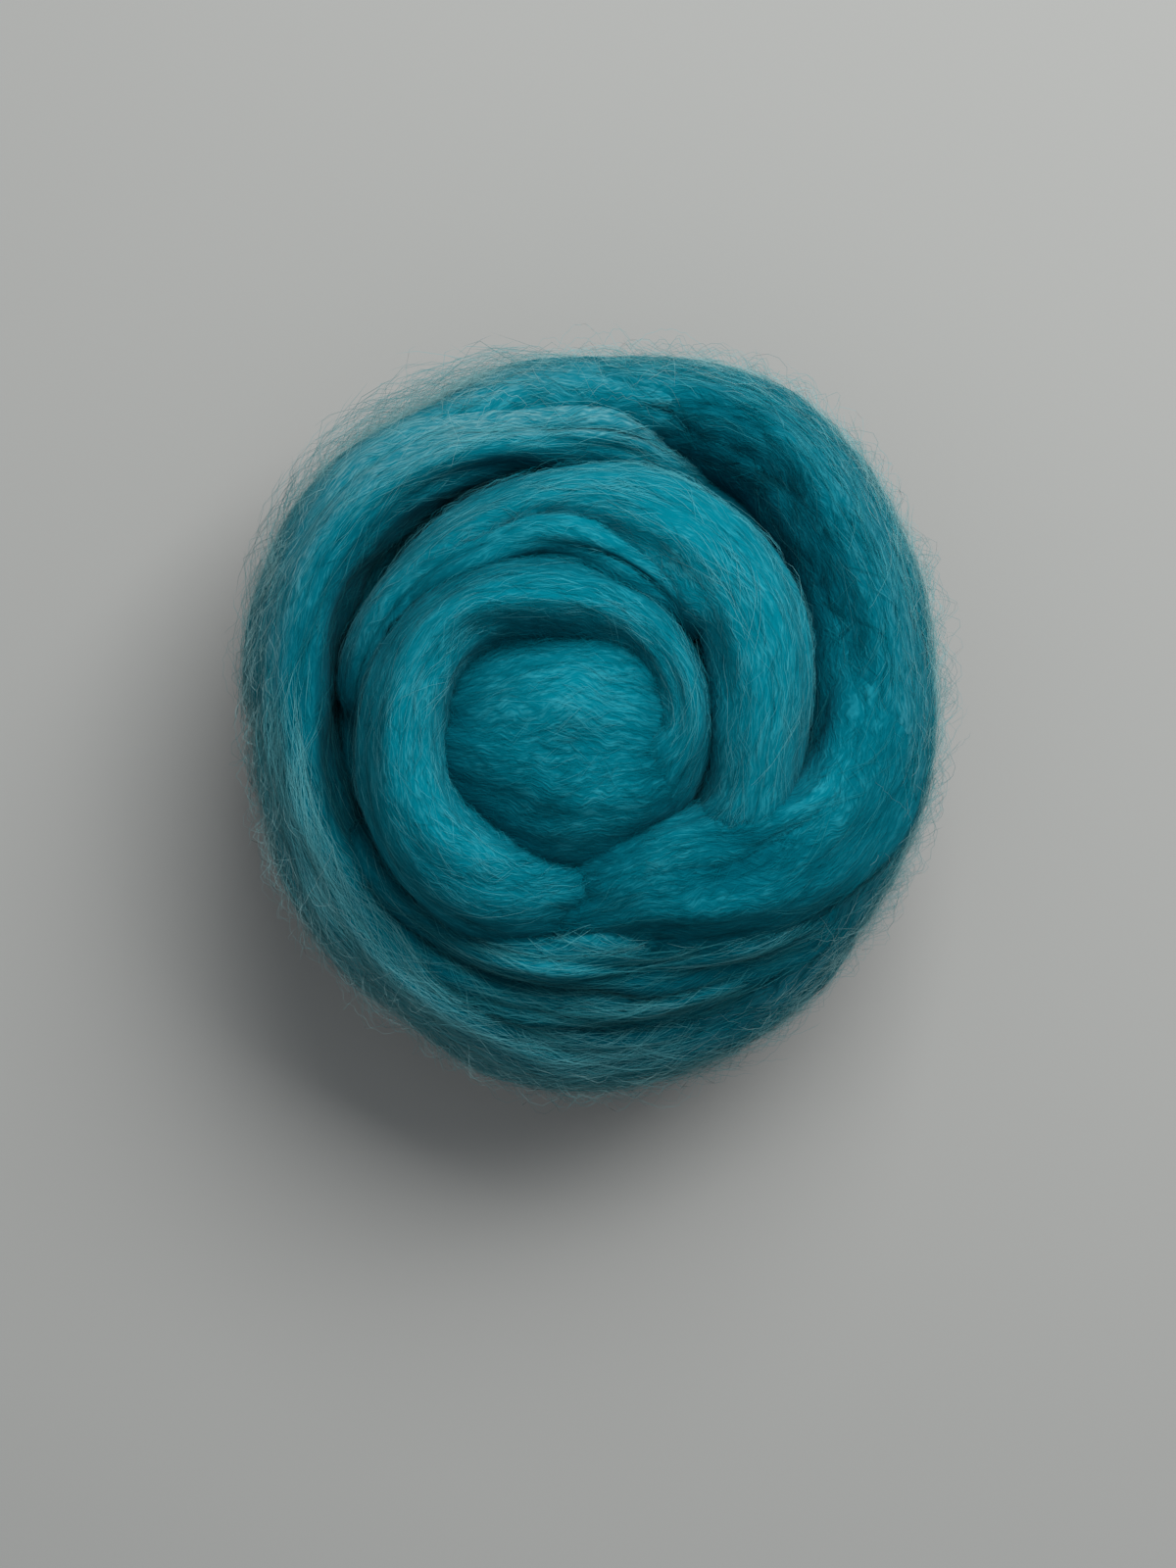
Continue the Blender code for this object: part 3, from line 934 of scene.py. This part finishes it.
def laid_fibres(
    strand,
    count,
    knots=4,
    reach=(1.8, 5.5),
    rise=0.18,
    clump=4,
    apart=0.18,
    part=(0, 1),
    side=(-0.8, 3.9),
):
    """Paths on the strand, the way it faces there, and each one's dye with painted light: a painted
    highlight where its bundle stands out and painted glints on a share. A clump of fibres lies side
    by side and took the dye alike. Along is the start plus the reach; the turn is a constant plus
    the sideways drift over the section's size; the lift is a bow that sinks in at both ends."""
    t = np.linspace(-0.5, 0.5, knots)
    clumps = count // clump
    count = clumps * clump

    def shared(values, spread):
        return np.repeat(values, clump)[:, None] + rng.normal(0, spread, (count, 1))

    length = shared(rng.uniform(*reach, clumps), 0.5)
    start = shared(rng.uniform(*part, clumps) * strand.length, 0.7)
    along = np.clip(start + length * t, KEEP_OFF_MM, strand.length - KEEP_OFF_MM)
    turn = shared(rng.uniform(*side, clumps), 0.0)
    _, _, _, _, _, wide, deep = strand.at(along)
    size = np.maximum(np.sqrt((wide**2 + deep**2) / 2), 1.5)
    slant = rng.normal(0, 1, clumps)
    slant = shared(slant * np.where(rng.random(clumps) < CROSSING_SHARE, CROSSING, LYING), 0.15)
    sideways = slant * length * t + rng.normal(0, apart, (count, 1))
    sideways = sideways + rng.normal(0, 0.10, (count, knots))
    height = rng.exponential(rise, (count, 1))
    bow = np.clip(np.cos(np.pi * t), 0, 1) ** 0.6
    lift = height * bow - ENDS_DOWN_MM + MIDDLE_UP_MM * bow + rng.normal(0, 0.05, (count, knots))
    turn = turn + sideways / size
    dye_and_light = shared(rng.beta(2.0, 2.0, clumps), 0.12)[:, 0]
    # Painted highlight on fibres over a standing bundle, and painted glints on a share.
    dye_and_light = dye_and_light + 0.15 * strand.relief(along, turn)[:, knots // 2]
    dye_and_light = dye_and_light + GLINT * (rng.random(count) < GLINT_SHARE)
    return strand.skin(along, turn, lift), strand.facing(along, turn), dye_and_light


# %% Fibres of several strands as one mesh
HIDDEN_MM = 1.2  # a fibre whose middle is deeper than this in another strand is dropped
SPARE = 1.7  # how many times its fair share of the fibres a strand may hold before the last draw
USUAL_DYE = 0.45
# Fibres with painted edge sheen are painted paler by this much: painted light.
EDGE_SHEEN_DYE = 0.3  # how much paler the fibres of a weathered place are


def fibre_piece(
    name,
    groups,
    most,
    make,
    radius,
    softness=0.7,
    material=laid_wool,
    widest_gap=np.inf,
    pale_and_painted_light=0.0,
    **shape,
):
    """One mesh of the fibres of several strands, thinned to at most a number. A group is a strand,
    a count and, where it isn't all of it, the part of its length. Fibres whose middle lies inside
    another strand are dropped, or farther off than the widest gap. Painted light and shade make one
    in a crease darker and one on a lit crest paler; a rubbed patch and painted edge sheen make it
    paler too, and the piece's own lift adds paleness and painted light to all its fibres."""
    sets = []
    share = most / sum(count for _, count, *_ in groups)
    for own, count, *part in groups:
        where = {"part": part[0]} if part else {}
        paths, facing, dye_and_light = make(strands[own], count, **shape, **where)
        middle = paths[:, paths.shape[1] // 2]
        gap, creased = neighbour_gaps(middle, own)
        kept = np.flatnonzero((gap > -HIDDEN_MM) & (creased < widest_gap))
        kept = rng.permutation(kept)[: int(SPARE * share * count)]
        paths, facing, middle, dye_and_light = paths[kept], facing[kept], middle[kept], dye_and_light[kept]
        faces_to = facing[:, facing.shape[1] // 2]
        painted_lightness, rubbed = painted_light(middle, faces_to, own), haze(middle)
        dye_and_light = USUAL_DYE + (dye_and_light - USUAL_DYE) * CONTRAST.get(own, 1.0)
        # Painted edge sheen: painted light.
        dye_and_light = dye_and_light + EDGE_SHEEN_DYE * painted_edge_sheen(middle, faces_to, own)
        # The fibre's painted light and shade: darker in creases and on the inner side, paler on lit
        # crests.
        shade = dye_and_light * (0.20 + 0.60 * painted_lightness) + painted_lightness * (0.06 + 0.20 * rubbed) + pale_and_painted_light
        paths = settled(paths.reshape(-1, 3), facing.reshape(-1, 3), own).reshape(paths.shape)
        sets.append((paths, facing, shade))
    paths, facing, shade = (np.concatenate(parts) for parts in zip(*sets))
    chosen = rng.permutation(len(paths))[:most]
    size = rng.uniform(*radius, len(chosen))
    shade = np.clip(shade[chosen], 0.02, 0.98)
    return tube_piece(name, paths[chosen], facing[chosen], size, shade, softness, material)


# %% The fibres of every strand
LAID = (
    ("heart_fibres", (("heart", 8000), ("inner_ring", 16000)), 6200, laid_wool),
    ("middle_fibres", (("middle_ring", 13000), ("split_strand", 5000)), 4800, laid_wool),
    ("left_fibres", (("left_lap", 14000), ("loose_tail", 3000)), 6000, outer_wool),
    ("right_fibres", (("right_lap", 13000), ("right_slope", 5000)), 6300, outer_wool),
    (
        "lower_fibres",
        (("lower_ridge", 6000), ("under_ridge", 6000), ("fold_over", 8000), ("fold_ridge", 2500)),
        6000,
        laid_wool,
    ),
    ("under_fibres", (("under_lap", 9000), ("base_lap", 3000), ("foot", 1500)), 2500, outer_wool),
)
fibres = [
    fibre_piece(name, groups, most, laid_fibres, (0.015, 0.028), material=material)
    for name, groups, most, material in LAID
]

# %% Long wisps over them
# They are pale and lie in locks of half a dozen. The thickest run down the outer left and along the
# ridges below.
WISPS = (
    ("left_lap", 8000), ("right_lap", 4500), ("middle_ring", 2500), ("under_lap", 4000),
    ("inner_ring", 1200), ("fold_over", 1000),
)
LEFT_WISPS = (("left_lap", 4000, (0.46, 0.84)),)
LOWER_WISPS = (("lower_ridge", 1500), ("under_ridge", 1500), ("under_lap", 1500))

wisp = dict(make=laid_fibres, material=loose_wool, knots=6, rise=0.30, clump=6, apart=0.35)
thick = dict(wisp, reach=(8, 20), radius=(0.016, 0.026))
fibres += [
    fibre_piece("wisps", WISPS, 2300, reach=(6, 16), radius=(0.014, 0.024), **wisp),
    # The left wisps are painted much paler and the lower ones a little: partly pale wool, partly
    # painted light.
    fibre_piece("left_wisps", LEFT_WISPS, 1600, side=(0.0, 1.9), pale_and_painted_light=0.38, **thick),
    fibre_piece("lower_wisps", LOWER_WISPS, 1500, side=(0.2, 2.6), pale_and_painted_light=0.15, **thick),
]

# %% [markdown]
# ## Loose fibre at the edge
#
# The outermost lap thins out into a veil at the upper left, and crinkled single fibres stand off
# all round. A hair system would also grow them, but these have to bow, stay clear of the neighbours
# and keep their shape in a mesh. The farthest have more knots, because wool's crimp repeats about
# every millimetre and a half.

# %% The veil
UP = np.array([0.0, 0.0, 1.0])
LIT_FROM_ABOVE = 1.2  # how much of UP is added to the way loose fibres face: light passes through


def veil_fibres(strand, count, knots=6):
    """Short fibres all through the veil's section, more of them deep in it than at its edge: the
    share of the way out is a power of a random number, and it drifts along the fibre."""
    t = np.linspace(-0.5, 0.5, knots)
    length = rng.uniform(6, 17, (count, 1))
    along = rng.uniform(-4, strand.length, (count, 1)) + length * t
    along = np.clip(along, 1.0, strand.length - 1.0)
    turn = rng.uniform(-np.pi, np.pi, (count, 1)) + rng.normal(0, 1.6, (count, 1)) * t
    share = rng.uniform(0, 1, (count, 1)) ** 0.7 * 1.25 + rng.normal(0, 0.45, (count, 1)) * t
    crinkle = rng.normal(0, 0.20, (count, knots))
    facing = unit(strand.facing(along, turn) + LIT_FROM_ABOVE * UP)
    return strand.skin(along, turn, crinkle, share), facing


VEIL_COUNT = 4000
paths, facing = veil_fibres(veil, VEIL_COUNT)
thickness, pale = rng.uniform(0.016, 0.030, VEIL_COUNT), rng.uniform(0.05, 0.80, VEIL_COUNT)
fibres.append(tube_piece("loose_veil", paths, facing, thickness, pale, 0.6, edge_wool))

# %% Fibres that stand off
FREE_SHARE = 0.45  # how many have a free end; the rest are loops with both ends in the wool
CRIMP_MM = (1.2, 2.0)  # how long a wave of the wool's crimp is


def flyaways(
    strand,
    count,
    knots=22,
    reach=(6, 14),
    rise=(1.0, 6.0),
    centre=0.1,
    spread=0.6,
    slant=0.7,
    crimp=0.2,
    part=(0, 1),
):
    """Fibres that stand off the outer side in a bow, or rise towards a free end, with the crimp as
    a sine sideways and outwards, and a slow sway across. They are shaded as if they faced half
    upwards."""
    t = np.linspace(-0.5, 0.5, knots)
    length = rng.uniform(*reach, (count, 1))
    turn = rng.normal(centre, spread, (count, 1))
    way = rng.normal(0, slant, (count, 1))
    along = rng.uniform(*part, (count, 1)) * strand.length + length * t * np.cos(way)
    along = np.clip(along, KEEP_OFF_MM, strand.length - KEEP_OFF_MM)
    _, _, _, _, _, wide, deep = strand.at(along)
    size = np.maximum(np.sqrt((wide**2 + deep**2) / 2), 2.0)
    phase = rng.uniform(0, 2 * np.pi, (count, 1))
    wave = 2 * np.pi * length * t / rng.uniform(*CRIMP_MM, (count, 1)) + phase
    sway = rng.normal(0, 0.07, (count, 1)) * length
    sway = sway * np.sin(2 * np.pi * t * rng.uniform(0.6, 1.6, (count, 1)) + phase)
    sideways = length * t * np.sin(way) + crimp * np.sin(wave) + sway
    height = rng.uniform(0, 1, (count, 1)) ** 2.0 * (rise[1] - rise[0]) + rise[0]
    free = rng.random((count, 1)) < FREE_SHARE
    bow = np.where(free, (t + 0.5) ** 1.3, np.clip(np.cos(np.pi * t), 0, 1) ** 0.7)
    lift = height * bow - 0.4 + 0.8 * crimp * np.cos(wave * 0.9 + 1.0)
    turn = turn + sideways / size
    facing = unit(strand.facing(along, turn) + LIT_FROM_ABOVE * UP)
    return strand.skin(along, turn, lift), facing, rng.uniform(0.1, 1.0, count)


# %% Rim, halo and strays
# Short fuzz close to the rim, a thinner halo of longer fibres, and the few that stray farthest.
RIM = (
    ("right_lap", 2400, (0, 0.76)), ("left_lap", 2600, (0.35, 1)), ("loose_tail", 2600, (0.3, 1)),
    ("under_lap", 1900),
)
HALO = (
    ("right_lap", 2100), ("left_lap", 1300, (0.35, 1)), ("loose_tail", 1300), ("under_lap", 1000),
)
STRAYS = (("right_lap", 160), ("left_lap", 180), ("under_lap", 70))

edge = dict(make=flyaways, material=edge_wool)
close = dict(edge, knots=5, reach=(2.5, 6), rise=(0.3, 3.0), centre=0.15, spread=0.4)
close.update(slant=0.35, crimp=0.12)
farther = dict(close, knots=6, reach=(3, 8), rise=(0.8, 4.5), slant=0.6, crimp=0.16, softness=0.6)
fibres += [
    # The rim fuzz is painted paler, standing in for light shining through it; the halo a little
    # darker.
    fibre_piece("rim_fuzz", RIM, 6600, radius=(0.015, 0.025), pale_and_painted_light=0.15, **close),
    fibre_piece("halo_fuzz", HALO, 3000, radius=(0.014, 0.023), pale_and_painted_light=-0.05, **farther),
    fibre_piece("flyaway_fibres", STRAYS, 300, radius=(0.014, 0.022), softness=0.5, **edge),
]

# %% Hairs across the creases
# Short hairs bridge the creases from one turn to the next.
CREASES = (
    ("heart", 2500), ("inner_ring", 6000), ("middle_ring", 6000), ("left_lap", 6000),
    ("right_lap", 3500), ("lower_ridge", 2500), ("under_ridge", 2500), ("fold_over", 3000),
)
bridge = dict(make=flyaways, knots=5, reach=(1.5, 4.5), rise=(0.1, 0.8), radius=(0.012, 0.022))
bridge.update(centre=np.pi / 2, spread=1.1, slant=1.2, crimp=0.05, softness=0.6)
fibres.append(fibre_piece("crease_hairs", CREASES, 3200, widest_gap=1.6, **bridge))

# %% Everything rides on the one body
pieces = skins + fibres
triangles = sum(len(piece.data.loops) - 2 * len(piece.data.polygons) for piece in pieces)
print(len(pieces), "pieces with", triangles, "triangles")
for piece in pieces:
    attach(piece, "root")

# %% [markdown]
# ## Floor, light and camera
#
# The ball was seen from straight above in soft daylight that falls from the top of the picture, so
# a wide lamp stands on that side, high up, and the sky fills in the rest. The floor is plain and
# pale.

# %% The floor
FLOOR_MM, FLOOR_DROP_MM = 3000.0, 0.3  # its side, and how far under the ball it lies
pale_floor = Finish("pale_floor")
pale_floor.surface(Base_Color=(0.30, 0.30, 0.288, 1), Roughness=0.8)
corners = np.array([[-0.5, -0.5, 0], [0.5, -0.5, 0], [0.5, 0.5, 0], [-0.5, 0.5, 0]]) * FLOOR_MM
corners[:, 2] = -FLOOR_DROP_MM
no_triangles = np.zeros((0, 3), int)
floor = add_mesh("floor", corners, np.array([[0, 1, 2, 3]]), no_triangles, {}, pale_floor.made)
print("floor of", FLOOR_MM * MM, "m")

# %% The sky and the lamp
# The sky's strength grows with its height above the horizon, from 0 to 1.
SKY_LOW, SKY_HIGH = 0.07, 0.54
world = bpy.data.worlds.new("soft_sky")
world.use_nodes = True
sky = world.node_tree
overhead = sky.nodes.new("ShaderNodeTexCoord")
height = sky.nodes.new("ShaderNodeSeparateXYZ")
bright = sky.nodes.new("ShaderNodeMapRange")
bright.inputs["To Min"].default_value = SKY_LOW
bright.inputs["To Max"].default_value = SKY_HIGH
sky.links.new(overhead.outputs["Generated"], height.inputs["Vector"])
sky.links.new(height.outputs["Z"], bright.inputs["Value"])
sky.links.new(bright.outputs["Result"], sky.nodes["Background"].inputs["Strength"])
sky.nodes["Background"].inputs["Color"].default_value = (0.90, 0.95, 1.0, 1)
bpy.context.scene.world = world

lamp_data = bpy.data.lights.new("window", "AREA")
lamp_data.shape = "RECTANGLE"
lamp_data.size, lamp_data.size_y = 0.7, 0.5
lamp_data.energy = 10.4
lamp = bpy.data.objects.new("window", lamp_data)
lamp.location = (0.27, 0.47, 0.66)
middle_of_ball = Vector((0, 0, 0.03))
lamp.rotation_euler = (middle_of_ball - lamp.location).to_track_quat("-Z", "Y").to_euler()
bpy.context.scene.collection.objects.link(lamp)
print("lamp of", lamp_data.energy, "W at", tuple(round(v, 2) for v in lamp.location))

# %% The camera
FRAME_WIDTH_MM = 168.0  # the picture's width, at the height of the ball's outline
OUTLINE_HEIGHT_MM = 28.0
CAMERA_AWAY_MM = 450.0
camera_data = bpy.data.cameras.new("camera")
camera_data.sensor_fit = "HORIZONTAL"
camera_data.sensor_width = 36.0
camera_data.lens = camera_data.sensor_width * CAMERA_AWAY_MM / FRAME_WIDTH_MM
camera = bpy.data.objects.new("camera", camera_data)
camera.location = (-1.4 * MM, -8.4 * MM, (OUTLINE_HEIGHT_MM + CAMERA_AWAY_MM) * MM)
bpy.context.scene.collection.objects.link(camera)
bpy.context.scene.camera = camera
print("camera with a lens of", round(camera_data.lens, 1), "mm")
bpy.context.scene.view_settings.view_transform = "Standard"
